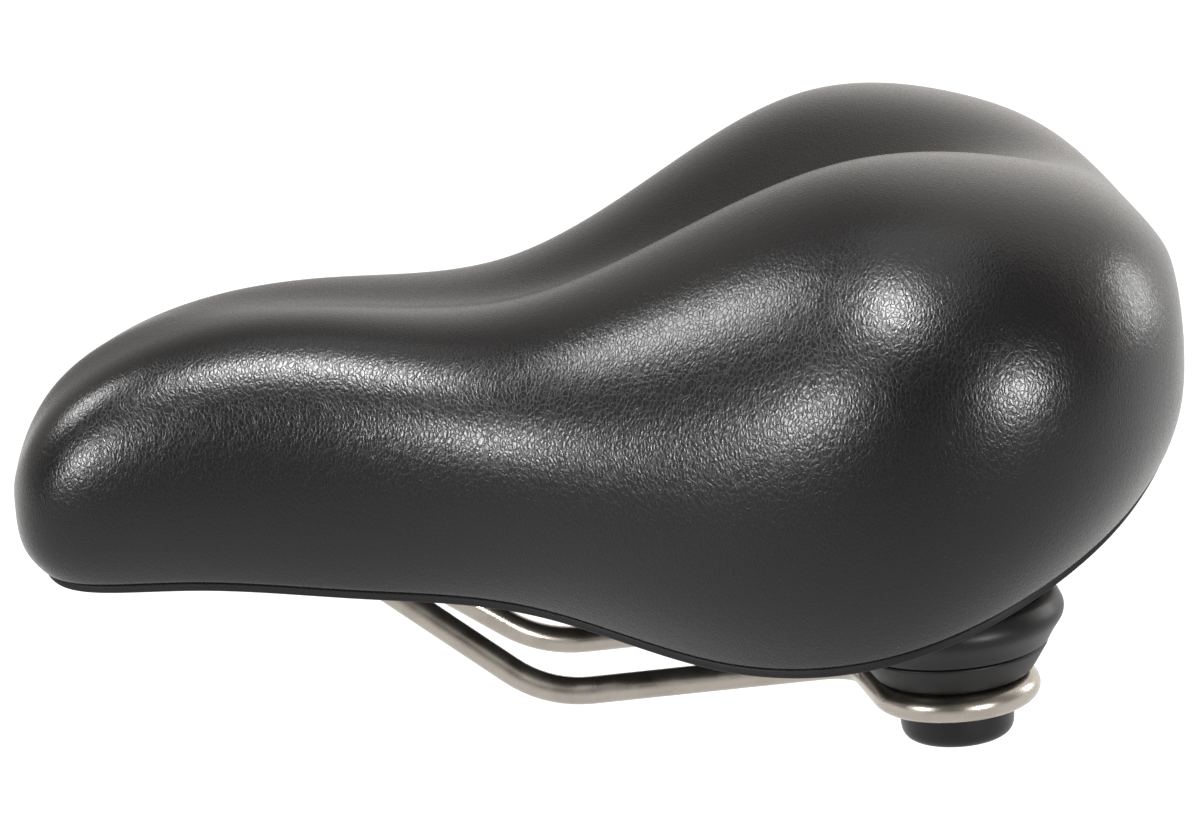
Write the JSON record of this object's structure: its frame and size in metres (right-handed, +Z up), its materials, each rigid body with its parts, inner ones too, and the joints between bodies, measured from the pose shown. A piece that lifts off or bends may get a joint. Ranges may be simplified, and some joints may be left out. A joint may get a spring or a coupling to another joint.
{
  "type": "bicycle saddle",
  "caption": "Wide padded comfort bicycle saddle with a wire rail frame, a nose pivot clamp and two rear elastomer springs under a moulded base.",
  "frame": {"origin": "midway between the two rails, at the middle of the straight stretch that a seatpost clamps, on the wires' centre plane", "axes": "+X towards the nose, +Y towards the rider's left, +Z up"},
  "size_m": [0.292, 0.2184, 0.1457],
  "materials": {
    "cover_skin": "satin, fine pebbled grain",
    "foam": "open-cell polyurethane foam",
    "gel": "soft translucent gel",
    "base_plastic": "moulded, matt",
    "rail_metal": "satin nickel plate",
    "fastener_steel": "zinc plated",
    "elastomer": "satin black",
    "cup_plastic": "satin black"
  },
  "bodies": {
    "rail_frame": {"rail_wire": "rail_metal", "elastomer_left": "elastomer", "elastomer_right": "elastomer"},
    "seat": {"cover": "cover_skin", "foam_core": "foam", "gel_pad_left": "gel", "gel_pad_right": "gel", "base_shell": "base_plastic", "nose_socket": "base_plastic", "nose_clip": "base_plastic", "nose_screws": "fastener_steel", "spring_cup_left": "cup_plastic", "spring_cup_right": "cup_plastic", "rebound_knob_left": "cup_plastic", "rebound_knob_right": "cup_plastic", "spacer_sleeve_left": "fastener_steel", "spacer_sleeve_right": "fastener_steel", "washer_left": "fastener_steel", "washer_right": "fastener_steel", "bolt_left": "fastener_steel", "bolt_right": "fastener_steel", "nut_left": "fastener_steel", "nut_right": "fastener_steel"}
  },
  "joints": [
    {"name": "seat_sink", "type": "hinge", "parent": "rail_frame", "child": "seat", "pos_m": [0.097, 0, 0.044], "axis": [0, -1, 0], "range_deg": [0, 1.5], "stiffness_Nm_per_rad": 1500, "springref_deg": -0.11, "deforming": ["elastomer_left", "elastomer_right"]}
  ]
}
